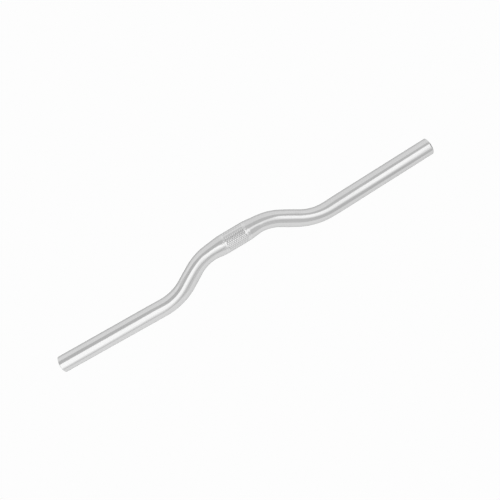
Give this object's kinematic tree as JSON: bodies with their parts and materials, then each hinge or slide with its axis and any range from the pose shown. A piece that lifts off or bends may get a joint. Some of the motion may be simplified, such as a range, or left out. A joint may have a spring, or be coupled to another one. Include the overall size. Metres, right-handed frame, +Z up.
{
  "type": "riser handlebar",
  "caption": "Bicycle riser handlebar: one bent aluminium tube with a swaged, knurled stem clamp and swept-back grip ends, open right through.",
  "frame": {"origin": "centre of the stem clamp, on the tube's axis", "axes": "as mounted on a bicycle: +X to the rider's right along the clamp, +Y forwards, +Z up"},
  "size_m": [0.5434, 0.0508, 0.0658],
  "materials": {
    "bright_anodised_aluminium": "bright clear anodised, finely brushed round the tube, knurled at the stem clamp"
  },
  "bodies": {
    "root": {"handlebar": "bright_anodised_aluminium"}
  },
  "joints": []
}
